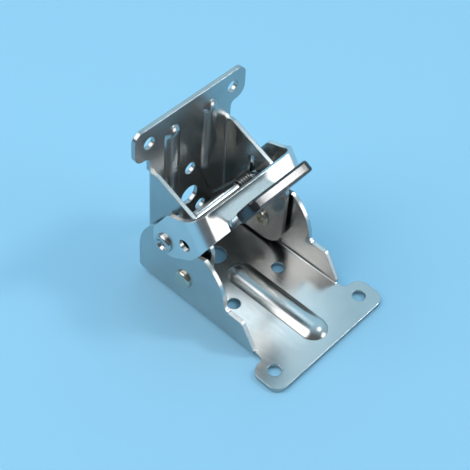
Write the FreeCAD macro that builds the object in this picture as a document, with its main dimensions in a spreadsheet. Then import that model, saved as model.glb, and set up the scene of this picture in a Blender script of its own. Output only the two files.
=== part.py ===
"""Folding table leg bracket: two hinged sheet steel brackets with a spring loaded lock bar and lever."""

import math
import os

import FreeCAD
import Part
import Sketcher

# Frame: x runs forward along the base plate, y across, z up; the origin is on the
# underside of the base plate, straight below the fold axis.
SIZES = {
    # Sheet steel
    "sheet": 1.8,
    "bend_inside": 1.0,
    "corner_round": 4.5,
    "notch_round": 2.5,
    "rim_share": 0.8,
    # Base bracket
    "base_half_width": 25.2,
    "base_rear": 24.0,
    "base_heel_cut": 3.2,
    "floor_setback": 4.0,
    "neck_length": 4.5,
    "flange_foot_height": 3.0,
    "step_slope": 7.0,
    "step_round": 1.2,
    "cam_radius": 21.3,
    "cam_end_angle": 62.0,
    "cam_lobe_round": 1.5,
    "cam_fillet": 2.4,
    "plate_front": 55.7,
    "base_ear_length": 14.2,
    "base_ear_half_width": 31.8,
    "base_neck_half_width": 24.0,
    "base_ear_hole_inset": 7.9,
    "base_ear_hole_edge": 6.8,
    "base_rear_hole_x": 15.7,
    "base_rear_hole_y": 12.9,
    "base_access_x": 6.3,
    "screw_hole": 5.4,
    "access_hole": 9.0,
    "bead_rear": 5.6,
    "bead_front_gap": 10.7,
    "bead_half_width": 5.0,
    "bead_height": 1.4,
    # Fold axis
    "pivot_height": 14.0,
    "pivot_shank": 5.0,
    "pivot_head": 8.0,
    "pivot_head_height": 1.6,
    "pivot_tail": 7.2,
    "pivot_tail_height": 1.5,
    "pivot_tail_bore": 3.8,
    "pivot_tail_depth": 1.8,
    "washer_outer": 10.0,
    "washer_play": 0.1,
    "running_play": 0.05,
    # Leg bracket
    "flange_gap": 1.8,
    "leg_web_back": 23.8,
    "leg_bottom": 3.0,
    "leg_front": 10.4,
    "leg_corner_height": 36.0,
    "leg_slope_front": 1.5,
    "leg_slope_front_height": 45.0,
    "leg_slope_back": 19.0,
    "leg_shoulder_drop": 21.9,
    "leg_foot_round": 10.0,
    "leg_front_round": 4.0,
    "leg_neck_half_width": 21.4,
    "leg_top": 75.6,
    "leg_ear_length": 14.6,
    "leg_ear_half_width": 28.8,
    "leg_ear_hole_edge": 7.1,
    "leg_ear_hole_inset": 7.2,
    "leg_centre_hole_z": 40.0,
    "leg_access_z": 25.0,
    "leg_low_hole_y": 6.5,
    "leg_low_hole_z": 15.0,
    "rib_y": 10.0,
    "rib_half_width": 3.5,
    "rib_bottom": 37.5,
    "rib_top_gap": 10.6,
    "rib_height": 1.2,
    # Lock bar, sleeve and springs
    "bar_back": 7.8,
    "bar_rise": 17.0,
    "bar_diameter": 4.0,
    "bar_travel": 10.0,
    "bar_slot_play": 0.2,
    "bar_notch_play": 0.3,
    "bar_head": 8.0,
    "bar_head_height": 1.6,
    "bar_dimple": 5.2,
    "bar_dimple_floor": 3.6,
    "bar_dimple_depth": 1.2,
    "sleeve_outer": 5.4,
    "sleeve_play": 0.1,
    "spring_wire": 1.1,
    "spring_leg_share": 0.96,
    "spring_turns": 5.0,
    "spring_pitch": 1.25,
    "spring_play": 0.3,
    "spring_side_play": 0.330556,
    "spring_end_turn": 20.0,
    "spring_seat": 53.0,
    "spring_back_leg": 17.5,
    "spring_front_leg": 21.5,
    # Release lever and grip
    "arm_gap": 0.9,
    "arm_play": 0.1,
    "lever_tip_x": 1.4,
    "lever_tip_z": 16.2,
    "lever_waist_x": 8.7,
    "lever_waist_z": 18.6,
    "lever_top_x": 15.1,
    "lever_top_z": 22.6,
    "lever_fold_x": 21.2,
    "lever_fold_z": 13.6,
    "lever_knee_x": 17.6,
    "lever_knee_z": 6.6,
    "lever_heel_x": 13.3,
    "lever_heel_z": 0.6,
    "lever_low_x": 4.0,
    "lever_low_z": 5.3,
    "lever_back_z": 4.0,
    "lever_eye_round": 5.0,
    "lever_tip_round": 2.0,
    "lever_waist_round": 9.0,
    "lever_low_round": 4.0,
    "lever_heel_round": 3.0,
    "lever_bend": 6.0,
    "lever_eye": 6.0,
    "lever_hole_x": 10.3,
    "lever_hole_z": 6.6,
    "lever_hole": 5.3,
    "tab_length": 21.2,
    "tab_half_width": 13.2,
    "tab_notch": 2.0,
    "tab_notch_depth": 2.2,
    "grip_length": 12.8,
    "grip_cover": 1.2,
    "grip_thickness": 3.5,
    "grip_end_wall": 2.6,
    "grip_corner": 3.0,
    "grip_round": 1.1,
}

ORIGIN = FreeCAD.Vector(0, 0, 0)
doc = FreeCAD.newDocument("FoldingLegBracket")
sheet = doc.addObject("Spreadsheet::Sheet", "Sizes")
for row, (alias, number) in enumerate(SIZES.items(), start=1):
    sheet.set(f"A{row}", alias)
    sheet.set(f"B{row}", str(number))
    sheet.setAlias(f"B{row}", alias)
doc.recompute()


class Size:
    """A number read from the sheet, kept together with the expression that gives it."""

    def __init__(self, number, text):
        self.number = number
        self.text = text

    def __add__(self, other):
        other = as_size(other)
        return Size(self.number + other.number, f"({self.text} + {other.text})")

    def __sub__(self, other):
        other = as_size(other)
        return Size(self.number - other.number, f"({self.text} - {other.text})")

    def __mul__(self, other):
        other = as_size(other)
        return Size(self.number * other.number, f"({self.text} * {other.text})")

    def __truediv__(self, other):
        other = as_size(other)
        return Size(self.number / other.number, f"({self.text} / {other.text})")

    def __neg__(self):
        return Size(-self.number, f"(0 - {self.text})")


def as_size(value):
    """Turn a plain number into a size."""
    if isinstance(value, Size):
        return value
    return Size(float(value), f"({float(value):.9f})")


def cell(alias):
    """Read one size from the sheet."""
    return Size(float(sheet.get(alias)), f"Sizes.{alias}")


def cosine(degrees):
    """Cosine of an angle held as a plain number of degrees."""
    return Size(math.cos(math.radians(degrees.number)), f"cos({degrees.text} * 1 deg)")


def sine(degrees):
    """Sine of an angle held as a plain number of degrees."""
    return Size(math.sin(math.radians(degrees.number)), f"sin({degrees.text} * 1 deg)")


def slope(across, up):
    """Angle in degrees of a line from its two sizes."""
    number = math.degrees(math.atan2(up.number, across.number))
    return Size(number, f"atan2({up.text}; {across.text})")


def root(value):
    """Square root of a size."""
    return Size(math.sqrt(value.number), f"sqrt({value.text})")


def new_body(label):
    """Start one sub-part."""
    body = doc.addObject("PartDesign::Body", label)
    body.Label = label
    return body


def new_sketch(body, role, offset=None):
    """Start a sketch on one of the body's own origin planes."""
    sketch = body.newObject("Sketcher::SketchObject", f"{body.Name}_sketch")
    plane = [item for item in body.Origin.OriginFeatures if item.Role == role][0]
    sketch.AttachmentSupport = (plane, [""])
    sketch.MapMode = "FlatFace"
    if offset is not None:
        sketch.setExpression("AttachmentOffset.Base.z", offset.text)
    return sketch


def bind(sketch, constraint, size):
    """Add a sketch constraint and tie its value to the sheet."""
    index = sketch.addConstraint(constraint)
    sketch.setExpression(f"Constraints[{index}]", size.text)


def locate(sketch, geometry, end, spot):
    """Fix one point of a sketch by its two coordinates."""
    across, up = spot
    bind(sketch, Sketcher.Constraint("DistanceX", -1, 1, geometry, end, across.number), across)
    bind(sketch, Sketcher.Constraint("DistanceY", -1, 1, geometry, end, up.number), up)


def polygon(sketch, spots):
    """Draw a closed outline of straight edges."""
    spots = [(as_size(across), as_size(up)) for across, up in spots]
    count = len(spots)
    corners = [FreeCAD.Vector(across.number, up.number, 0) for across, up in spots]
    first = sketch.GeometryCount
    for index in range(count):
        sketch.addGeometry(Part.LineSegment(corners[index], corners[(index + 1) % count]))
    for index in range(count):
        following = (index + 1) % count
        sketch.addConstraint(Sketcher.Constraint("Coincident", first + index, 2, first + following, 1))
    for index, spot in enumerate(spots):
        locate(sketch, first + index, 1, spot)


def circle(sketch, spot, radius):
    """Draw a circle."""
    spot = (as_size(spot[0]), as_size(spot[1]))
    centre = FreeCAD.Vector(spot[0].number, spot[1].number, 0)
    index = sketch.addGeometry(Part.Circle(centre, FreeCAD.Vector(0, 0, 1), radius.number))
    bind(sketch, Sketcher.Constraint("Radius", index, radius.number), radius)
    locate(sketch, index, 3, spot)


def quarter(sketch, spot, radius, side):
    """Draw the upper quarter of a disc, ahead of its centre (side 1) or behind it (side -1)."""
    centre = FreeCAD.Vector(spot[0].number, spot[1].number, 0)
    top = centre + FreeCAD.Vector(0, radius.number, 0)
    tip = centre + FreeCAD.Vector(side * radius.number, 0, 0)
    rim = Part.Circle(centre, FreeCAD.Vector(0, 0, 1), radius.number)
    start, end = (0.0, math.pi / 2) if side > 0 else (math.pi / 2, math.pi)
    arc = sketch.addGeometry(Part.ArcOfCircle(rim, start, end))
    level = sketch.addGeometry(Part.LineSegment(centre, tip))
    upright = sketch.addGeometry(Part.LineSegment(centre, top))
    tip_end, top_end = (1, 2) if side > 0 else (2, 1)
    sketch.addConstraint(Sketcher.Constraint("Coincident", level, 1, arc, 3))
    sketch.addConstraint(Sketcher.Constraint("Coincident", upright, 1, arc, 3))
    sketch.addConstraint(Sketcher.Constraint("Coincident", level, 2, arc, tip_end))
    sketch.addConstraint(Sketcher.Constraint("Coincident", upright, 2, arc, top_end))
    sketch.addConstraint(Sketcher.Constraint("Horizontal", level))
    sketch.addConstraint(Sketcher.Constraint("Vertical", upright))
    bind(sketch, Sketcher.Constraint("Radius", arc, radius.number), radius)
    locate(sketch, arc, 3, spot)


def obround(sketch, start, end, radius):
    """Draw a slot outline between two centres that share one coordinate."""
    start = (as_size(start[0]), as_size(start[1]))
    end = (as_size(end[0]), as_size(end[1]))
    low = FreeCAD.Vector(start[0].number, start[1].number, 0)
    high = FreeCAD.Vector(end[0].number, end[1].number, 0)
    along = (high - low).normalize()
    side = FreeCAD.Vector(along.y, -along.x, 0) * radius.number
    turn = math.atan2(side.y, side.x)
    normal = FreeCAD.Vector(0, 0, 1)
    cap = Part.ArcOfCircle(Part.Circle(high, normal, radius.number), turn, turn + math.pi)
    foot = Part.ArcOfCircle(Part.Circle(low, normal, radius.number), turn + math.pi, turn + 2 * math.pi)
    first = sketch.addGeometry(Part.LineSegment(low + side, high + side))
    sketch.addGeometry(cap)
    sketch.addGeometry(Part.LineSegment(high - side, low - side))
    sketch.addGeometry(foot)
    for index in range(4):
        following = first + (index + 1) % 4
        sketch.addConstraint(Sketcher.Constraint("Tangent", first + index, 2, following, 1))
    sketch.addConstraint(Sketcher.Constraint("Equal", first + 1, first + 3))
    bind(sketch, Sketcher.Constraint("Radius", first + 1, radius.number), radius)
    locate(sketch, first + 1, 3, end)
    locate(sketch, first + 3, 3, start)


def pad(body, sketch, length, symmetric=False, back=False):
    """Raise a sketch into a solid."""
    feature = body.newObject("PartDesign::Pad", f"{body.Name}_pad")
    feature.Profile = sketch
    if symmetric:
        feature.SideType = "Symmetric"
    feature.Reversed = back
    feature.setExpression("Length", length.text)
    doc.recompute()
    return feature


def pocket(body, sketch, length=None, symmetric=True, back=False):
    """Cut a sketch out of the solid, right through unless a length is given."""
    before = body.Shape.Volume
    feature = body.newObject("PartDesign::Pocket", f"{body.Name}_pocket")
    feature.Profile = sketch
    if symmetric:
        feature.SideType = "Symmetric"
    feature.Reversed = back
    if length is None:
        feature.Type = "ThroughAll"
    else:
        feature.setExpression("Length", length.text)
    doc.recompute()
    if body.Shape.Volume >= before:
        raise ValueError(f"{feature.Name} cuts nothing")
    return feature


def revolve(body, sketch):
    """Turn a half profile about the sketch's upright axis."""
    feature = body.newObject("PartDesign::Revolution", f"{body.Name}_turn")
    feature.Profile = sketch
    feature.ReferenceAxis = (sketch, ["V_Axis"])
    feature.Angle = 360
    doc.recompute()
    return feature


def near(first, second):
    """Tell whether two plain numbers are the same place."""
    return abs(first - second) < 1e-3


def edges_along(body, direction, spots):
    """Find straight edges in one direction through given places across it."""
    names = []
    keep = [axis for axis in range(3) if axis != direction]
    for index, edge in enumerate(body.Shape.Edges, start=1):
        if len(edge.Vertexes) < 2:
            continue
        start, end = edge.Vertexes[0].Point, edge.Vertexes[-1].Point
        if not all(near(start[axis], end[axis]) for axis in keep):
            continue
        for spot in spots:
            if all(near(start[axis], spot[place].number) for place, axis in enumerate(keep)):
                names.append(f"Edge{index}")
                break
    return names


def edges_sloped(body, direction, side):
    """Find straight edges that lie at one place across the bracket and run in one slanting direction."""
    names = []
    along = FreeCAD.Vector(direction[0].number, 0, direction[1].number).normalize()
    for index, edge in enumerate(body.Shape.Edges, start=1):
        if edge.Curve.TypeId != "Part::GeomLine":
            continue
        start, end = edge.Vertexes[0].Point, edge.Vertexes[-1].Point
        if not near(abs((end - start).normalize().dot(along)), 1):
            continue
        if near(start.y, side.number) and near(end.y, side.number):
            names.append(f"Edge{index}")
    return names


def rims_at(body, axis, level, radius):
    """Find round edges of one radius at one level."""
    names = []
    for index, edge in enumerate(body.Shape.Edges, start=1):
        if edge.Curve.TypeId != "Part::GeomCircle":
            continue
        if near(edge.Curve.Radius, radius.number) and near(edge.Curve.Center[axis], level.number):
            names.append(f"Edge{index}")
    return names


def round_edges(body, names, radius):
    """Round the named edges."""
    if not names:
        raise ValueError(f"{body.Label} has no edge to round")
    before = body.Tip
    feature = body.newObject("PartDesign::Fillet", f"{body.Name}_round")
    feature.Base = (before, names)
    feature.setExpression("Radius", radius.text)
    body.Tip = feature
    doc.recompute()
    return feature


def place(body, across, up, forward=None, turn=0):
    """Set a sub-part on its axis, with its own upright axis laid across the bracket."""
    spin = FreeCAD.Rotation(FreeCAD.Vector(1, 0, 0), turn)
    body.Placement = FreeCAD.Placement(ORIGIN, spin)
    if forward is not None:
        body.setExpression("Placement.Base.x", forward.text)
    body.setExpression("Placement.Base.y", across.text)
    body.setExpression("Placement.Base.z", up.text)
    doc.recompute()


HALF = as_size(0.5)
ZERO = as_size(0.0)
X_AXIS, Y_AXIS, Z_AXIS = range(3)

thick = cell("sheet")
pivot_z = cell("pivot_height")
bar_x = -cell("bar_back")
bar_z = pivot_z + cell("bar_rise")
base_out = cell("base_half_width")
base_in = base_out - thick
leg_out = base_in - cell("flange_gap")
leg_in = leg_out - thick
arm_in = base_out + cell("arm_gap")
arm_out = arm_in + thick
bend_out = cell("bend_inside") + thick

# Base bracket: floor and two flanges folded from one sheet. Behind the fold axis the flange
# follows a disc, ahead of it a smaller cam disc, then a step level with the axis that slopes
# down to the floor.
base = new_body("base_bracket")
rear = cell("base_rear")
cam = cell("cam_radius")
plate_front = cell("plate_front")
ear_rear = plate_front - cell("base_ear_length")
foot_front = ear_rear - cell("neck_length")
step_front = foot_front - cell("step_slope")
block = new_sketch(base, "XZ_Plane")
polygon(block, [(-rear, ZERO), (cam, ZERO), (cam, pivot_z), (-rear, pivot_z)])
pad(base, block, base_out * 2, symmetric=True)
step = new_sketch(base, "XZ_Plane")
polygon(step, [
    (ZERO, ZERO),
    (foot_front, ZERO),
    (foot_front, cell("flange_foot_height")),
    (step_front, pivot_z),
    (ZERO, pivot_z),
])
pad(base, step, base_out * 2, symmetric=True)
front_disc = new_sketch(base, "XZ_Plane")
quarter(front_disc, (ZERO, pivot_z), cam, 1)
pad(base, front_disc, base_out * 2, symmetric=True)
rear_disc = new_sketch(base, "XZ_Plane")
quarter(rear_disc, (ZERO, pivot_z), rear, -1)
pad(base, rear_disc, base_out * 2, symmetric=True)
round_edges(base, edges_along(base, Y_AXIS, [(step_front, pivot_z)]), cell("step_round"))

# The notch for the lock bar opens upwards; its front side is a long ramp up to the cam disc.
notch = cell("bar_diameter") * HALF + cell("bar_notch_play")
above = bar_z + rear
ramp_x = cam * cosine(cell("cam_end_angle"))
ramp_z = pivot_z + cam * sine(cell("cam_end_angle"))
notch_cut = new_sketch(base, "XZ_Plane")
obround(notch_cut, (bar_x, bar_z), (bar_x, above), notch)
pocket(base, notch_cut)
ramp_cut = new_sketch(base, "XZ_Plane")
polygon(ramp_cut, [(bar_x, bar_z - notch), (ramp_x, ramp_z), (ramp_x, above), (bar_x, above)])
pocket(base, ramp_cut)
round_edges(base, edges_along(base, Y_AXIS, [(cam, pivot_z)]), cell("cam_fillet"))
lobe_x = bar_x - notch
lobe_z = pivot_z + root(rear * rear - lobe_x * lobe_x)
round_edges(base, edges_along(base, Y_AXIS, [(lobe_x, lobe_z)]), cell("cam_lobe_round"))

# The space between the flanges, with the bends that run along the floor.
channel = new_sketch(base, "XZ_Plane")
polygon(channel, [
    (-rear * 2, thick),
    (foot_front * 2, thick),
    (foot_front * 2, above),
    (-rear * 2, above),
])
pocket(base, channel, base_in * 2)
inner_bends = edges_along(base, X_AXIS, [(base_in, thick), (-base_in, thick)])
round_edges(base, inner_bends, cell("bend_inside"))
outer_bends = edges_along(base, X_AXIS, [(base_out, ZERO), (-base_out, ZERO)])
round_edges(base, outer_bends, bend_out)
floor_wide = base_out - bend_out
floor_end = cell("floor_setback") - rear
floor_cut = new_sketch(base, "XY_Plane")
polygon(floor_cut, [
    (-rear * 2, -floor_wide),
    (floor_end, -floor_wide),
    (floor_end, floor_wide),
    (-rear * 2, floor_wide),
])
pocket(base, floor_cut, thick, symmetric=False, back=True)
heel_cut = cell("base_heel_cut")
heel_corner = new_sketch(base, "XZ_Plane")
polygon(heel_corner, [
    (heel_cut * 2 - rear, -heel_cut),
    (-rear - heel_cut, heel_cut * 2),
    (-rear - heel_cut, -heel_cut),
])
pocket(base, heel_corner)

# The plate ahead of the flanges widens into two screw ears.
ear_wide = cell("base_ear_half_width")
neck = cell("base_neck_half_width")
plate = new_sketch(base, "XY_Plane")
polygon(plate, [
    (cam, -floor_wide),
    (foot_front - thick, -floor_wide),
    (foot_front, -neck),
    (ear_rear, -neck),
    (ear_rear, -ear_wide),
    (plate_front, -ear_wide),
    (plate_front, ear_wide),
    (ear_rear, ear_wide),
    (ear_rear, neck),
    (foot_front, neck),
    (foot_front - thick, floor_wide),
    (cam, floor_wide),
])
pad(base, plate, thick)
ear_corners = [(spot, side) for spot in (ear_rear, plate_front) for side in (ear_wide, -ear_wide)]
round_edges(base, edges_along(base, Z_AXIS, ear_corners), cell("corner_round"))
neck_corners = [(ear_rear, neck), (ear_rear, -neck)]
round_edges(base, edges_along(base, Z_AXIS, neck_corners), cell("notch_round"))

# Pressed bead along the middle of the plate: raised above, hollow below.
bead_wide = cell("bead_half_width")
bead_ends = ((cell("bead_rear") + bead_wide, ZERO), (plate_front - cell("bead_front_gap"), ZERO))
bead = new_sketch(base, "XY_Plane", thick)
obround(bead, bead_ends[0], bead_ends[1], bead_wide)
pad(base, bead, cell("bead_height"))
bead_top = thick + cell("bead_height")
bead_rim = rims_at(base, Z_AXIS, bead_top, bead_wide)
round_edges(base, bead_rim[:1], cell("bead_height") * cell("rim_share"))
hollow = new_sketch(base, "XY_Plane")
obround(hollow, bead_ends[0], bead_ends[1], bead_wide - cell("bead_height"))
pocket(base, hollow, cell("bead_height"), symmetric=False, back=True)

holes = new_sketch(base, "XY_Plane")
ear_hole_x = plate_front - cell("base_ear_hole_inset")
ear_hole_y = ear_wide - cell("base_ear_hole_edge")
for side in (1, -1):
    circle(holes, (ear_hole_x, ear_hole_y * side), cell("screw_hole") * HALF)
    circle(holes, (cell("base_rear_hole_x"), cell("base_rear_hole_y") * side), cell("screw_hole") * HALF)
circle(holes, (-cell("base_access_x"), ZERO), cell("access_hole") * HALF)
pocket(base, holes)
pivot_bore = cell("pivot_shank") * HALF + cell("running_play")
base_pivot = new_sketch(base, "XZ_Plane")
circle(base_pivot, (ZERO, pivot_z), pivot_bore)
pocket(base, base_pivot)

# Leg bracket: a web against the leg and two flanges inside those of the base bracket.
leg = new_body("leg_bracket")
web_back = -cell("leg_web_back")
web_face = web_back + thick
leg_low = cell("leg_bottom")
leg_front = cell("leg_front")
leg_top = cell("leg_top")
shoulder = leg_top - cell("leg_shoulder_drop")
leg_outline = new_sketch(leg, "XZ_Plane")
polygon(leg_outline, [
    (web_back, leg_low),
    (leg_front, leg_low),
    (leg_front, cell("leg_corner_height")),
    (cell("leg_slope_front"), cell("leg_slope_front_height")),
    (-cell("leg_slope_back"), shoulder),
    (web_back, shoulder),
])
pad(leg, leg_outline, leg_out * 2, symmetric=True)
round_edges(leg, edges_along(leg, Y_AXIS, [(leg_front, leg_low)]), cell("leg_foot_round"))
leg_bumps = [
    (leg_front, cell("leg_corner_height")),
    (cell("leg_slope_front"), cell("leg_slope_front_height")),
]
round_edges(leg, edges_along(leg, Y_AXIS, leg_bumps), cell("leg_front_round"))
leg_channel = new_sketch(leg, "XZ_Plane")
polygon(leg_channel, [
    (web_face, ZERO),
    (leg_front * 2, ZERO),
    (leg_front * 2, shoulder * 2),
    (web_face, shoulder * 2),
])
pocket(leg, leg_channel, leg_in * 2)
web_bends = edges_along(leg, Z_AXIS, [(web_face, leg_in), (web_face, -leg_in)])
round_edges(leg, web_bends, cell("bend_inside"))
back_bends = edges_along(leg, Z_AXIS, [(web_back, leg_out), (web_back, -leg_out)])
round_edges(leg, back_bends, bend_out)

# The web goes on above the flanges and widens into two screw ears.
leg_neck = cell("leg_neck_half_width")
leg_ear_wide = cell("leg_ear_half_width")
leg_ear_low = leg_top - cell("leg_ear_length")
upper_web = new_sketch(leg, "YZ_Plane", web_back)
polygon(upper_web, [
    (-leg_neck, shoulder),
    (leg_neck, shoulder),
    (leg_neck, leg_ear_low),
    (leg_ear_wide, leg_ear_low),
    (leg_ear_wide, leg_top),
    (-leg_ear_wide, leg_top),
    (-leg_ear_wide, leg_ear_low),
    (-leg_neck, leg_ear_low),
])
pad(leg, upper_web, thick)
leg_corners = [(side, spot) for side in (leg_ear_wide, -leg_ear_wide) for spot in (leg_ear_low, leg_top)]
round_edges(leg, edges_along(leg, X_AXIS, leg_corners), cell("corner_round"))
leg_necks = [(leg_neck, leg_ear_low), (-leg_neck, leg_ear_low)]
round_edges(leg, edges_along(leg, X_AXIS, leg_necks), cell("notch_round"))

# Two upright ribs pressed forward out of the web.
rib_wide = cell("rib_half_width")
rib_end = leg_top - cell("rib_top_gap")
ribs = new_sketch(leg, "YZ_Plane", web_face)
for side in (1, -1):
    rib_y = cell("rib_y") * side
    obround(ribs, (rib_y, cell("rib_bottom")), (rib_y, rib_end), rib_wide)
pad(leg, ribs, cell("rib_height"))
rib_top = web_face + cell("rib_height")
for side in (1, -1):
    rim = [name for name in rims_at(leg, X_AXIS, rib_top, rib_wide)
           if leg.Shape.getElement(name).Curve.Center.y * side > 0]
    round_edges(leg, rim[:1], cell("rib_height") * cell("rim_share"))
rib_hollows = new_sketch(leg, "YZ_Plane", web_back)
for side in (1, -1):
    rib_y = cell("rib_y") * side
    obround(rib_hollows, (rib_y, cell("rib_bottom")), (rib_y, rib_end), rib_wide - cell("rib_height"))
pocket(leg, rib_hollows, cell("rib_height"), symmetric=False, back=True)

leg_holes = new_sketch(leg, "YZ_Plane")
leg_hole_y = leg_ear_wide - cell("leg_ear_hole_edge")
leg_hole_z = leg_top - cell("leg_ear_hole_inset")
for side in (1, -1):
    circle(leg_holes, (leg_hole_y * side, leg_hole_z), cell("screw_hole") * HALF)
    circle(leg_holes, (cell("leg_low_hole_y") * side, cell("leg_low_hole_z")), cell("screw_hole") * HALF)
circle(leg_holes, (ZERO, cell("leg_centre_hole_z")), cell("screw_hole") * HALF)
circle(leg_holes, (ZERO, cell("leg_access_z")), cell("access_hole") * HALF)
pocket(leg, leg_holes)
leg_pivot = new_sketch(leg, "XZ_Plane")
circle(leg_pivot, (ZERO, pivot_z), pivot_bore)
pocket(leg, leg_pivot)
bar_slot = new_sketch(leg, "XZ_Plane")
slot_half = cell("bar_diameter") * HALF + cell("bar_slot_play")
obround(bar_slot, (bar_x, bar_z), (bar_x, bar_z + cell("bar_travel")), slot_half)
pocket(leg, bar_slot)

# Rivets and spacers on the fold axis, one pair on each side.
rivet_grip = base_out - leg_in + cell("washer_play")
head_half = cell("pivot_head") * HALF
tail_half = cell("pivot_tail") * HALF
shank_half = cell("pivot_shank") * HALF
tail_end = -rivet_grip - cell("pivot_tail_height")
tail_bore = cell("pivot_tail_bore") * HALF
tail_floor = tail_end + cell("pivot_tail_depth")
for name, side in (("left", -1), ("right", 1)):
    rivet = new_body(f"pivot_rivet_{name}")
    profile = new_sketch(rivet, "XZ_Plane")
    polygon(profile, [
        (ZERO, cell("pivot_head_height")),
        (head_half, cell("pivot_head_height")),
        (head_half, ZERO),
        (shank_half, ZERO),
        (shank_half, -rivet_grip),
        (tail_half, -rivet_grip),
        (tail_half, tail_end),
        (tail_bore, tail_end),
        (tail_bore, tail_floor),
        (ZERO, tail_floor),
    ])
    revolve(rivet, profile)
    dome = rims_at(rivet, Z_AXIS, cell("pivot_head_height"), head_half)
    round_edges(rivet, dome, cell("pivot_head_height") * cell("rim_share"))
    curl = rims_at(rivet, Z_AXIS, tail_end, tail_half)
    round_edges(rivet, curl, cell("pivot_tail_height") * cell("rim_share"))
    place(rivet, base_out * side, pivot_z, turn=-90 * side)
    washer = new_body(f"pivot_washer_{name}")
    ring = new_sketch(washer, "XZ_Plane", leg_out * -side)
    circle(ring, (ZERO, pivot_z), cell("washer_outer") * HALF)
    circle(ring, (ZERO, pivot_z), pivot_bore)
    pad(washer, ring, cell("flange_gap") - cell("washer_play"), back=side > 0)

# Lock bar with peened, dimpled heads outside the lever arms, and the tube on it.
bar = new_body("lock_bar")
bar_half = cell("bar_diameter") * HALF
bar_head = cell("bar_head") * HALF
head_seat = arm_out + cell("arm_play")
head_end = head_seat + cell("bar_head_height")
dimple = cell("bar_dimple") * HALF
dimple_low = cell("bar_dimple_floor") * HALF
dimple_floor = head_end - cell("bar_dimple_depth")
bar_profile = new_sketch(bar, "XZ_Plane")
polygon(bar_profile, [
    (ZERO, -dimple_floor),
    (dimple_low, -dimple_floor),
    (dimple, -head_end),
    (bar_head, -head_end),
    (bar_head, -head_seat),
    (bar_half, -head_seat),
    (bar_half, head_seat),
    (bar_head, head_seat),
    (bar_head, head_end),
    (dimple, head_end),
    (dimple_low, dimple_floor),
    (ZERO, dimple_floor),
])
revolve(bar, bar_profile)
bar_rims = rims_at(bar, Z_AXIS, head_end, bar_head) + rims_at(bar, Z_AXIS, -head_end, bar_head)
round_edges(bar, bar_rims, cell("bar_head_height") * cell("rim_share"))
place(bar, ZERO, bar_z, forward=bar_x, turn=90)

# The springs stand against the leg flanges, and the tube fills the bar between them.
end_turn = cell("spring_end_turn")
coil_turns = cell("spring_turns") + end_turn / 360
coil_length = cell("spring_pitch") * coil_turns
wire_half = cell("spring_wire") * HALF
coil_start = leg_in - cell("spring_side_play") - wire_half - coil_length
sleeve = new_body("bar_sleeve")
tube = new_sketch(sleeve, "XZ_Plane")
circle(tube, (bar_x, bar_z), cell("sleeve_outer") * HALF)
circle(tube, (bar_x, bar_z), bar_half + cell("sleeve_play"))
pad(sleeve, tube, (coil_start - cell("spring_wire")) * 2, symmetric=True)

# Torsion springs on the bar: a close coil with one leg back to the web and one under the lever.
coil_radius = bar_half + cell("spring_play") + cell("spring_wire") * HALF
overlap = wire_half
helix = doc.addObject("Part::Helix", "spring_path")
helix.setExpression("Radius", coil_radius.text)
helix.setExpression("Pitch", cell("spring_pitch").text)
helix.setExpression("Height", coil_length.text)
section = doc.addObject("Part::Circle", "spring_section")
section.setExpression("Radius", wire_half.text)
section.Placement = FreeCAD.Placement(ORIGIN, FreeCAD.Rotation(FreeCAD.Vector(1, 0, 0), 90))
section.setExpression("Placement.Base.x", coil_radius.text)
doc.recompute()
coil = doc.addObject("Part::Sweep", "spring_coil")
coil.Sections = [section]
coil.Spine = (helix, [])
coil.Solid = True
coil.Frenet = True
back_leg = doc.addObject("Part::Cylinder", "spring_back_leg")
back_leg.setExpression("Radius", (wire_half * cell("spring_leg_share")).text)
back_leg.setExpression("Height", (cell("spring_back_leg") + overlap).text)
back_leg.Placement = FreeCAD.Placement(ORIGIN, FreeCAD.Rotation(FreeCAD.Vector(1, 0, 0), 90))
back_leg.setExpression("Placement.Base.x", coil_radius.text)
back_leg.setExpression("Placement.Base.y", overlap.text)
front_leg = doc.addObject("Part::Cylinder", "spring_front_leg")
front_leg.setExpression("Radius", (wire_half * cell("spring_leg_share")).text)
front_leg.setExpression("Height", (cell("spring_front_leg") + overlap).text)
spin = FreeCAD.Rotation(FreeCAD.Vector(0, 0, 1), end_turn.number)
front_leg.Placement = FreeCAD.Placement(ORIGIN, spin * FreeCAD.Rotation(FreeCAD.Vector(1, 0, 0), -90))
front_leg.setExpression("Placement.Base.x", (coil_radius * cosine(end_turn) + overlap * sine(end_turn)).text)
front_leg.setExpression("Placement.Base.y", (coil_radius * sine(end_turn) - overlap * cosine(end_turn)).text)
front_leg.setExpression("Placement.Base.z", coil_length.text)
spring = doc.addObject("Part::MultiFuse", "spring_right")
spring.Shapes = [coil, back_leg, front_leg]
spring.Label = "spring_right"
seat = math.radians(cell("spring_seat").number)
lean = FreeCAD.Vector(-math.sin(seat), 0, math.cos(seat))
ahead = FreeCAD.Vector(math.cos(seat), 0, math.sin(seat))
turned = FreeCAD.Rotation(lean, ahead, FreeCAD.Vector(0, 1, 0), "ZXY")
spring.Placement = FreeCAD.Placement(ORIGIN, turned)
spring.setExpression("Placement.Base.x", bar_x.text)
spring.setExpression("Placement.Base.y", coil_start.text)
spring.setExpression("Placement.Base.z", bar_z.text)
doc.recompute()
other_spring = doc.addObject("Part::Mirroring", "spring_left")
other_spring.Source = spring
other_spring.Normal = FreeCAD.Vector(0, 1, 0)
other_spring.Label = "spring_left"

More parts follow.
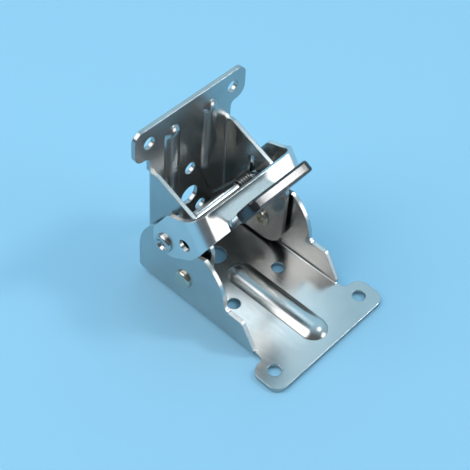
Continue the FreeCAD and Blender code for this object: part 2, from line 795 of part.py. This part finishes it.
# Release lever: two arms outside the base flanges, joined by a slanting web.
lever = new_body("release_lever")
fold_x = bar_x + cell("lever_fold_x")
fold_z = bar_z + cell("lever_fold_z")
top_x = bar_x + cell("lever_top_x")
top_z = bar_z + cell("lever_top_z")
eye = cell("lever_eye")
tip = (bar_x + cell("lever_tip_x"), bar_z + cell("lever_tip_z"))
eye_top = (bar_x - eye, bar_z + cell("lever_back_z"))
eye_low = (bar_x - eye, bar_z - eye)
low = (bar_x + cell("lever_low_x"), bar_z - cell("lever_low_z"))
heel = (bar_x + cell("lever_heel_x"), bar_z + cell("lever_heel_z"))
knee = (bar_x + cell("lever_knee_x"), bar_z + cell("lever_knee_z"))
waist = (bar_x + cell("lever_waist_x"), bar_z + cell("lever_waist_z"))
arm = new_sketch(lever, "XZ_Plane")
polygon(arm, [tip, eye_top, eye_low, low, heel, knee, (fold_x, fold_z), (top_x, top_z), waist])
pad(lever, arm, arm_out * 2, symmetric=True)

# The web is bent round into the arms, and the arms have no sharp corners.
web_run = root((top_x - fold_x) * (top_x - fold_x) + (top_z - fold_z) * (top_z - fold_z))
web_ux = (top_x - fold_x) / web_run
web_uz = (top_z - fold_z) / web_run
web_edges = edges_sloped(lever, (web_ux, web_uz), arm_out) + edges_sloped(lever, (web_ux, web_uz), -arm_out)
round_edges(lever, web_edges, cell("lever_bend"))
round_edges(lever, edges_along(lever, Y_AXIS, [eye_top, eye_low]), cell("lever_eye_round"))
round_edges(lever, edges_along(lever, Y_AXIS, [tip]), cell("lever_tip_round"))
round_edges(lever, edges_along(lever, Y_AXIS, [waist]), cell("lever_waist_round"))
round_edges(lever, edges_along(lever, Y_AXIS, [low]), cell("lever_low_round"))
round_edges(lever, edges_along(lever, Y_AXIS, [heel]), cell("lever_heel_round"))

# Everything between the arms but the web is cut away.
reach = eye * 4 + cell("lever_fold_x")
face_x = fold_x - web_uz * thick
face_z = fold_z + web_ux * thick
inside = new_sketch(lever, "XZ_Plane")
polygon(inside, [
    (face_x - web_ux * reach, face_z - web_uz * reach),
    (face_x + web_ux * reach, face_z + web_uz * reach),
    (face_x + web_ux * reach - web_uz * reach * 2, face_z + web_uz * reach + web_ux * reach * 2),
    (face_x - web_ux * reach - web_uz * reach * 2, face_z - web_uz * reach + web_ux * reach * 2),
])
pocket(lever, inside, arm_in * 2)
web_corners = edges_sloped(lever, (web_ux, web_uz), arm_in) + edges_sloped(lever, (web_ux, web_uz), -arm_in)
round_edges(lever, web_corners, cell("lever_bend") - thick)

# The finger tab turns up from the front edge of the web, in line with the arms' front edges.
front_run = root((fold_x - knee[0]) * (fold_x - knee[0]) + (fold_z - knee[1]) * (fold_z - knee[1]))
tab_x = (fold_x - knee[0]) / front_run
tab_z = (fold_z - knee[1]) / front_run


def on_tab(along, across):
    """Point at a distance along the tab and a distance behind its front face."""
    return (fold_x + tab_x * along - tab_z * across, fold_z + tab_z * along + tab_x * across)


tab_end = cell("tab_length")
tab_wide = cell("tab_half_width")
tab = new_sketch(lever, "XZ_Plane")
polygon(tab, [on_tab(ZERO, ZERO), on_tab(tab_end, ZERO), on_tab(tab_end, thick), on_tab(ZERO, thick)])
pad(lever, tab, tab_wide * 2, symmetric=True)
fold_run = thick / (web_uz * tab_x - web_ux * tab_z)
fold_line = (fold_x + web_ux * fold_run, fold_z + web_uz * fold_run)
round_edges(lever, edges_along(lever, Y_AXIS, [fold_line]), cell("bend_inside"))
notch_half = cell("tab_notch") * HALF
notch_y = tab_wide + notch_half
notch_x = fold_x - cell("tab_notch_depth") + notch_half
notches = new_sketch(lever, "XY_Plane")
for side in (1, -1):
    obround(notches, (notch_x, notch_y * side), (fold_x + tab_end, notch_y * side), notch_half)
pocket(lever, notches)
arm_holes = new_sketch(lever, "XZ_Plane")
circle(arm_holes, (bar_x, bar_z), bar_half + cell("running_play"))
hole_spot = (bar_x + cell("lever_hole_x"), bar_z + cell("lever_hole_z"))
circle(arm_holes, hole_spot, cell("lever_hole") * HALF)
pocket(lever, arm_holes)

# Plastic grip moulded over the end of the tab, drawn flat along x and then leaned with the tab.
grip = new_body("lever_grip")
grip_end = tab_end + cell("grip_cover")
grip_start = grip_end - cell("grip_length")
grip_wide = tab_wide + cell("grip_end_wall")
grip_low = (thick - cell("grip_thickness")) * HALF
grip_high = (thick + cell("grip_thickness")) * HALF
block = new_sketch(grip, "XY_Plane", grip_low)
polygon(block, [
    (grip_start, -grip_wide),
    (grip_end, -grip_wide),
    (grip_end, grip_wide),
    (grip_start, grip_wide),
])
pad(grip, block, cell("grip_thickness"))
grip_corners = [(grip_end, grip_wide), (grip_end, -grip_wide)]
round_edges(grip, edges_along(grip, Z_AXIS, grip_corners), cell("grip_corner"))
for level in (grip_low, grip_high):
    round_edges(grip, edges_along(grip, Y_AXIS, [(grip_end, level)]), cell("grip_round"))
socket = new_sketch(grip, "XY_Plane")
polygon(socket, [(ZERO, -tab_wide), (tab_end, -tab_wide), (tab_end, tab_wide), (ZERO, tab_wide)])
pocket(grip, socket, thick, symmetric=False, back=True)
lean = slope(fold_x - knee[0], fold_z - knee[1])
grip.Placement = FreeCAD.Placement(ORIGIN, FreeCAD.Rotation(FreeCAD.Vector(0, -1, 0), lean.number))
grip.setExpression("Placement.Rotation.Angle", lean.text)
grip.setExpression("Placement.Base.x", fold_x.text)
grip.setExpression("Placement.Base.z", fold_z.text)

doc.recompute()
PARTS = [
    "base_bracket",
    "pivot_rivet_left",
    "pivot_rivet_right",
    "leg_bracket",
    "pivot_washer_left",
    "pivot_washer_right",
    "lock_bar",
    "bar_sleeve",
    "spring_left",
    "spring_right",
    "release_lever",
    "lever_grip",
]
for item in doc.Objects:
    if "Invalid" in item.State or "Error" in item.State:
        raise ValueError(f"{item.Name} failed: {item.State}")
os.makedirs("parts", exist_ok=True)
for label in PARTS:
    piece = doc.getObjectsByLabel(label)[0]
    if piece.Shape.isNull() or not piece.Shape.isValid():
        raise ValueError(f"{label} has no valid shape")
    piece.Shape.exportStep(f"parts/{label}.step")
    print(label, len(piece.Shape.Solids), round(piece.Shape.Volume, 2))
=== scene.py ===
import math

import bpy
import numpy as np
from mathutils import Matrix, Vector


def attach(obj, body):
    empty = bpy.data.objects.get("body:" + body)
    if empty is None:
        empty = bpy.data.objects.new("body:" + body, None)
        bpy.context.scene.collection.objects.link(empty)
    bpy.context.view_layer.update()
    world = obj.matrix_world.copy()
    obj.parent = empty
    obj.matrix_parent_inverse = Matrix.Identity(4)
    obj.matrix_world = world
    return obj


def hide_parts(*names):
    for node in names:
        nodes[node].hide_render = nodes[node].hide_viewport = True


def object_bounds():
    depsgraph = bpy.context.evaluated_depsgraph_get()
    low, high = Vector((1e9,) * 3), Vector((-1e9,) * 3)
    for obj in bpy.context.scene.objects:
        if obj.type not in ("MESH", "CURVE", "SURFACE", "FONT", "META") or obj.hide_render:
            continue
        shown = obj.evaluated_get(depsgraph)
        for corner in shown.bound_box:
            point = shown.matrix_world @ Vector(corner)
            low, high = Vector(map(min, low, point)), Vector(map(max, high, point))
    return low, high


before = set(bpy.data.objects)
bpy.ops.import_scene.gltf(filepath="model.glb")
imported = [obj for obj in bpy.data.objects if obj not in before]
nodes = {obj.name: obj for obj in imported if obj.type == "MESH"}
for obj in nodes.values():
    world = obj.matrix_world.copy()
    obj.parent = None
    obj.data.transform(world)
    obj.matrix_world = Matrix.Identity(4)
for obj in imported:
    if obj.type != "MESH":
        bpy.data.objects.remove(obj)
cad_low, cad_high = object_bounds()


# Base bracket: the lower half, stamped from 1.8 mm steel sheet, folded up into two flanges
# and bright nickel plated. It is screwed to the underside of the table top.
def wire(material, sockets, values):
    """Add one node: set its values, then join each of its inputs to the socket given for it."""
    node = material.node_tree.nodes.new(values.pop("kind"))
    for key, value in values.items():
        if key in node.inputs:
            node.inputs[key].default_value = value
        else:
            setattr(node, key, value)
    for key, source in sockets.items():
        material.node_tree.links.new(source, node.inputs[key])
    return node


def nickel_plate(name, pale, dark, rough, grain, edge=0.0004):
    """Plated sheet: colour drifts slowly between two greys, roughness follows a fine streak that
    is stretched along the rolling direction, and a faint pebble bump stands on softened edges."""
    plate = bpy.data.materials.new(name)
    plate.use_nodes = True
    shader = plate.node_tree.nodes["Principled BSDF"]
    shader.inputs["Metallic"].default_value = 1.0
    spot = wire(plate, {}, {"kind": "ShaderNodeTexCoord"}).outputs["Object"]
    cloud = wire(plate, {"Vector": spot},
                 {"kind": "ShaderNodeTexNoise", "Scale": 38.0, "Detail": 3.0})
    tone = wire(plate, {"Fac": cloud.outputs["Fac"]}, {"kind": "ShaderNodeValToRGB"})
    tone.color_ramp.elements[0].position = 0.30
    tone.color_ramp.elements[0].color = (*dark, 1.0)
    tone.color_ramp.elements[1].position = 0.70
    tone.color_ramp.elements[1].color = (*pale, 1.0)
    rolled = wire(plate, {"Vector": spot}, {"kind": "ShaderNodeMapping", "Scale": grain})
    streak = wire(plate, {"Vector": rolled.outputs["Vector"]},
                  {"kind": "ShaderNodeTexNoise", "Scale": 900.0, "Detail": 4.0})
    gloss = wire(plate, {"Value": streak.outputs["Fac"]},
                 {"kind": "ShaderNodeMapRange", "To Min": rough * 0.8, "To Max": rough * 1.25})
    pebble = wire(plate, {"Vector": spot},
                  {"kind": "ShaderNodeTexNoise", "Scale": 2200.0, "Detail": 3.0})
    soft = wire(plate, {}, {"kind": "ShaderNodeBevel", "samples": 6, "Radius": edge})
    bump = wire(plate, {"Height": pebble.outputs["Fac"], "Normal": soft.outputs["Normal"]},
                {"kind": "ShaderNodeBump", "Strength": 0.09, "Distance": 0.0001})
    join = plate.node_tree.links.new
    join(tone.outputs["Color"], shader.inputs["Base Color"])
    join(gloss.outputs["Result"], shader.inputs["Roughness"])
    join(bump.outputs["Normal"], shader.inputs["Normal"])
    return plate


def wear(node, finish):
    """Give a CAD node one finish."""
    nodes[node].data.materials.clear()
    nodes[node].data.materials.append(finish)


base_nickel = nickel_plate("base_nickel", pale=(0.60, 0.595, 0.58), dark=(0.50, 0.495, 0.48),
                           rough=0.22, grain=(0.12, 1, 1))
wear("base_bracket", base_nickel)


def ringed_shell(name, rings):
    """Closed skin through rings of points, from one end to the other: quads join each ring to the
    next, and a fan of triangles to the ring's mean point closes each end."""
    rows, around = rings.shape[:2]
    points = np.concatenate([rings.reshape(-1, 3), rings[[0, -1]].mean(axis=1)])
    here = np.arange(around)
    after = np.roll(here, -1)
    row = np.arange(rows - 1)[:, None] * around
    sides = np.stack([row + here, row + after, row + around + after, row + around + here], axis=-1)
    tip = np.full(around, rows * around)
    last = (rows - 1) * around
    first_fan = np.stack([after, here, tip], axis=-1)
    last_fan = np.stack([last + here, last + after, tip + 1], axis=-1)
    faces = sides.reshape(-1, 4).tolist() + first_fan.tolist() + last_fan.tolist()
    mesh = bpy.data.meshes.new(name)
    mesh.from_pydata(points.tolist(), [], faces)
    mesh.shade_smooth()
    shell = bpy.data.objects.new(name, mesh)
    bpy.context.scene.collection.objects.link(shell)
    return shell


def crowned_ridge(name, start, end, outward, half_width, crown, fullness,
                  root=0.0003, innermost=0.05, around=96, inward=24):
    """Pressed ridge between two points on the face of a sheet: each ring keeps s half widths away
    from the line between them and stands crown times (1 - s to the power of the fullness) above
    the face. The foot is sunk by the root, and the fan at the top starts at the innermost ring."""
    start = np.array(start)
    end = np.array(end)
    outward = np.array(outward)
    length = np.linalg.norm(end - start)
    along = (end - start) / length
    across = np.cross(outward, along)
    turn = np.linspace(0, 2 * np.pi, around, endpoint=False)
    inner = np.linspace(1.0, innermost, inward)
    share = np.concatenate([[innermost, 1.0], inner])[:, None]
    lift = np.concatenate([[-root, -root], crown * (1 - inner ** fullness)])[:, None] + 0 * turn
    run = np.where(np.cos(turn) > 0, length, 0.0) + half_width * share * np.cos(turn)
    side = half_width * share * np.sin(turn)
    rings = start + run[..., None] * along + side[..., None] * across + lift[..., None] * outward
    return ringed_shell(name, rings)


# The bead along the middle of the base plate is pressed up from below, round all over.
BASE_FACE = 0.0018
BEAD_REAR = 0.0080
BEAD_FRONT = 0.0450
bead = crowned_ridge("base_bead", (BEAD_REAR, 0.0, BASE_FACE), (BEAD_FRONT, 0.0, BASE_FACE),
                     outward=(0.0, 0.0, 1.0), half_width=0.0060, crown=0.0025, fullness=2.4)
bead.data.materials.append(base_nickel)
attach(bead, "base")

# Leg bracket: the upper half, stamped and folded from the same sheet as the base, with two
# pressed ribs. It is screwed to the face of the table leg.
# The leg's two greys are set darker than the base's on every face: painted shade, for the shade
# that falls inside the leg bracket.
leg_nickel_painted_shade = nickel_plate("leg_nickel_painted_shade", pale=(0.52, 0.52, 0.51), dark=(0.42, 0.42, 0.41),
                          rough=0.22, grain=(1, 1, 0.12))
wear("leg_bracket", leg_nickel_painted_shade)
WEB_FACE = -0.0220
RIB_FOOT = 0.0375
RIB_HEAD = 0.0650
for side, rib_y in (("left", -0.010), ("right", 0.010)):
    rib = crowned_ridge(f"leg_rib_{side}", (WEB_FACE, rib_y, RIB_FOOT), (WEB_FACE, rib_y, RIB_HEAD),
                        outward=(1.0, 0.0, 0.0), half_width=0.0041, crown=0.0018, fullness=3.0)
    rib.data.materials.append(leg_nickel_painted_shade)
    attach(rib, "leg")

# Fold rivets and the spacers between the flanges: turned steel with a warmer plating. The
# rivets are headed over by a press, and the leg bracket turns on them.
rivet_nickel = nickel_plate("rivet_nickel", pale=(0.64, 0.60, 0.52), dark=(0.54, 0.50, 0.43),
                            rough=0.20, grain=(1, 0.2, 1), edge=0.0002)
for side in ("left", "right"):
    wear(f"pivot_rivet_{side}", rivet_nickel)
    wear(f"pivot_washer_{side}", rivet_nickel)

# Lock bar and the tube on it: bright drawn steel. The bar is peened over at both ends outside
# the lever arms, and slides in the slots of the leg bracket.
bar_steel = nickel_plate("bar_steel", pale=(0.62, 0.61, 0.60), dark=(0.52, 0.51, 0.50),
                         rough=0.18, grain=(1, 0.1, 1), edge=0.0002)
wear("lock_bar", bar_steel)
wear("bar_sleeve", bar_steel)

# Torsion springs: drawn steel wire, wound on the lock bar at each end of the tube. The wire is
# darker and duller than the plated sheet.
spring_wire = nickel_plate("spring_wire", pale=(0.50, 0.48, 0.45), dark=(0.36, 0.34, 0.31),
                           rough=0.28, grain=(1, 1, 1), edge=0.0001)
wear("spring_left", spring_wire)
wear("spring_right", spring_wire)

# Release lever: a third stamping of plated steel sheet, with two arms, a slanting web and a
# finger tab bent up from it. It hangs on the ends of the lock bar.
# The lever's two greys are set far brighter than the base's: painted light, for the bright sheen on
# the lever's web and tab.
lever_nickel_painted_light = nickel_plate("lever_nickel_painted_light", pale=(0.80, 0.79, 0.77), dark=(0.70, 0.69, 0.67),
                            rough=0.24, grain=(1, 0.12, 1))
wear("release_lever", lever_nickel_painted_light)

# Grip: black plastic, glossy with a faint mould texture. It is moulded over the end of the
# lever's finger tab.
grip_black = bpy.data.materials.new("grip_black")
grip_black.use_nodes = True
grip_shader = grip_black.node_tree.nodes["Principled BSDF"]
grip_shader.inputs["Coat Weight"].default_value = 0.35
grip_shader.inputs["Coat Roughness"].default_value = 0.06
grip_spot = wire(grip_black, {}, {"kind": "ShaderNodeTexCoord"}).outputs["Object"]
grip_cloud = wire(grip_black, {"Vector": grip_spot},
                  {"kind": "ShaderNodeTexNoise", "Scale": 120.0, "Detail": 4.0})
grip_tone = wire(grip_black, {"Fac": grip_cloud.outputs["Fac"]}, {"kind": "ShaderNodeValToRGB"})
grip_tone.color_ramp.elements[0].color = (0.010, 0.010, 0.011, 1.0)
grip_tone.color_ramp.elements[1].color = (0.022, 0.022, 0.024, 1.0)
grip_gloss = wire(grip_black, {"Value": grip_cloud.outputs["Fac"]},
                  {"kind": "ShaderNodeMapRange", "To Min": 0.12, "To Max": 0.20})
grip_bump = wire(grip_black, {"Height": grip_cloud.outputs["Fac"]},
                 {"kind": "ShaderNodeBump", "Strength": 0.08, "Distance": 0.0002})
grip_join = grip_black.node_tree.links.new
grip_join(grip_tone.outputs["Color"], grip_shader.inputs["Base Color"])
grip_join(grip_gloss.outputs["Result"], grip_shader.inputs["Roughness"])
grip_join(grip_bump.outputs["Normal"], grip_shader.inputs["Normal"])


def soft_block(name, outline, radii, faces, rim, place, flat=0.00003, arc=12, bends=7):
    """Moulded block: an outline of round corners, each a quarter turn about its own centre, is
    carried through the thickness. At the two faces it draws in by the rim radius along a quarter
    circle, and a flat edge at each end of that circle keeps the shading crisp."""
    quarter = np.linspace(0, np.pi / 2, arc)
    heading = (np.arange(4)[:, None] * np.pi / 2 + quarter).ravel()
    middle = np.repeat(np.array(outline), arc, axis=0)
    radius = np.repeat(radii, arc)
    bend = np.linspace(0, np.pi / 2, bends)
    draw = np.concatenate([[rim + flat], rim * (1 - np.sin(bend)), [0.0]])
    rise = np.concatenate([[0.0], rim * (1 - np.cos(bend)), [rim + flat]])
    draw = np.concatenate([draw, draw[::-1]])[:, None]
    level = np.concatenate([faces[0] + rise, faces[1] - rise[::-1]])[:, None] + 0 * heading
    run = middle[:, 0] + (radius - draw) * np.cos(heading)
    side = middle[:, 1] + (radius - draw) * np.sin(heading)
    origin, along, across, up = place
    rings = origin + run[..., None] * along + side[..., None] * across + level[..., None] * up
    return ringed_shell(name, rings)


# The block leans with the tab. Its run is measured from the frame's origin along the tab, and
# the levels of its two faces are measured from there square to the tab.
LEAN = math.radians(62.79)
GRIP_START = 0.05539
GRIP_END = 0.06819
GRIP_SIDE = 0.0158
GRIP_FACES = (0.00722, 0.01183)
GRIP_RIM = 0.0010
START_CORNER = 0.0015
END_CORNER = 0.0030
tab_along = np.array([math.cos(LEAN), 0.0, math.sin(LEAN)])
tab_across = np.array([0.0, 1.0, 0.0])
tab_up = np.array([-math.sin(LEAN), 0.0, math.cos(LEAN)])
grip_centres = [
    (GRIP_END - END_CORNER, GRIP_SIDE - END_CORNER),
    (GRIP_START + START_CORNER, GRIP_SIDE - START_CORNER),
    (GRIP_START + START_CORNER, START_CORNER - GRIP_SIDE),
    (GRIP_END - END_CORNER, END_CORNER - GRIP_SIDE),
]
grip_radii = [END_CORNER, START_CORNER, START_CORNER, END_CORNER]
grip = soft_block("grip_cover", grip_centres, grip_radii, GRIP_FACES, GRIP_RIM,
                  (np.zeros(3), tab_along, tab_across, tab_up))
grip.data.materials.append(grip_black)
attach(grip, "lever")
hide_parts("lever_grip")
wear("lever_grip", grip_black)

# Floor: a wide sheet of pale blue card, lit softly, a hair below the bracket's underside.
# It is not part of the bracket.
FLOOR_HALF = 3.0
FLOOR_GAP = 0.0002
corner = np.array([[-1, -1, 0], [1, -1, 0], [1, 1, 0], [-1, 1, 0]]) * FLOOR_HALF
corner = corner + [0, 0, cad_low.z - FLOOR_GAP]
card_mesh = bpy.data.meshes.new("card")
card_mesh.from_pydata(corner.tolist(), [], [[0, 1, 2, 3]])
card = bpy.data.objects.new("card", card_mesh)
bpy.context.scene.collection.objects.link(card)
card_blue = bpy.data.materials.new("card_blue")
card_blue.use_nodes = True
card_shader = card_blue.node_tree.nodes["Principled BSDF"]
card_shader.inputs["Roughness"].default_value = 0.9
card_shader.inputs["Specular IOR Level"].default_value = 0.1
card_shader.inputs["Base Color"].default_value = (0.360, 0.680, 0.895, 1.0)
card_mesh.materials.append(card_blue)

# Light: a soft lamp low on the right, a small one high on the right for the grip's end, a small
# one high behind, a wide soft one high on the left, and a pale room that is dark on the camera's
# side. Each lamp has its name, its place, the point it faces, its width and its power in watts.
LAMPS = (
    ("lamp_side", (0.98, 0.58, 0.35), (0, 0, 0.05), 0.62, 2.4),
    ("lamp_top", (0.390, 0.582, 0.857), (0.022, 0, 0.065), 0.19, 1.9),
    ("lamp_back", (-0.1825, 0.251, 0.4335), (0.012, -0.004, 0.050), 0.09, 0.036),
    ("lamp_fill", (-0.52, -0.70, 1.00), (0, 0, 0.02), 1.40, 10.0),
)
for name, at, toward, size, power in LAMPS:
    lamp_data = bpy.data.lights.new(name, "AREA")
    lamp_data.shape = "DISK"
    lamp_data.size = size
    lamp_data.energy = power
    lamp = bpy.data.objects.new(name, lamp_data)
    lamp.location = at
    lamp.rotation_euler = (Vector(toward) - Vector(at)).to_track_quat("-Z", "Y").to_euler()
    bpy.context.scene.collection.objects.link(lamp)
ROOM_BRIGHT_SIDE = (-0.42, 0.78, 0.46)
room = bpy.data.worlds.new("room")
room.use_nodes = True
bpy.context.scene.world = room
gaze = wire(room, {}, {"kind": "ShaderNodeTexCoord"}).outputs["Generated"]
toward_back = wire(room, {0: gaze}, {"kind": "ShaderNodeVectorMath", "operation": "DOT_PRODUCT"})
toward_back.inputs[1].default_value = ROOM_BRIGHT_SIDE
wall = wire(room, {"Fac": toward_back.outputs["Value"]}, {"kind": "ShaderNodeValToRGB"})
wall.color_ramp.elements[0].position = 0.0
wall.color_ramp.elements[0].color = (0.11, 0.12, 0.13, 1.0)
wall.color_ramp.elements[1].position = 0.9
wall.color_ramp.elements[1].color = (0.39, 0.67, 0.84, 1.0)
backdrop = room.node_tree.nodes["Background"]
backdrop.inputs["Strength"].default_value = 1.25
room.node_tree.links.new(wall.outputs["Color"], backdrop.inputs["Color"])

# Camera: where the photograph was taken from, for a square picture. Its angles, distance and
# focal length come from fitting a pinhole camera to the photograph.
AZIMUTH = math.radians(39.60)
ELEVATION = math.radians(49.08)
ROLL = math.radians(4.53)
TARGET = Vector((-0.00235, 0.00631, 0.0120))
DISTANCE = 0.47073
FOCAL_PIXELS = 1185.9
FRAME_PIXELS = 470.0
back = Vector((math.sin(AZIMUTH) * math.cos(ELEVATION), -math.cos(AZIMUTH) * math.cos(ELEVATION),
               math.sin(ELEVATION)))
level = (-back).cross(Vector((0, 0, 1))).normalized()
rise = level.cross(-back)
right = level * math.cos(ROLL) + rise * math.sin(ROLL)
upward = rise * math.cos(ROLL) - level * math.sin(ROLL)
eye_data = bpy.data.cameras.new("eye")
eye_data.sensor_width = 36.0
eye_data.lens = FOCAL_PIXELS / FRAME_PIXELS * eye_data.sensor_width
eye_data.clip_start = 0.01
eye_data.clip_end = 20.0
eye = bpy.data.objects.new("eye", eye_data)
turn = Matrix((right, upward, back)).transposed()
eye.matrix_world = Matrix.Translation(TARGET + back * DISTANCE) @ turn.to_4x4()
bpy.context.scene.collection.objects.link(eye)
bpy.context.scene.camera = eye
bpy.context.scene.view_settings.view_transform = "Standard"
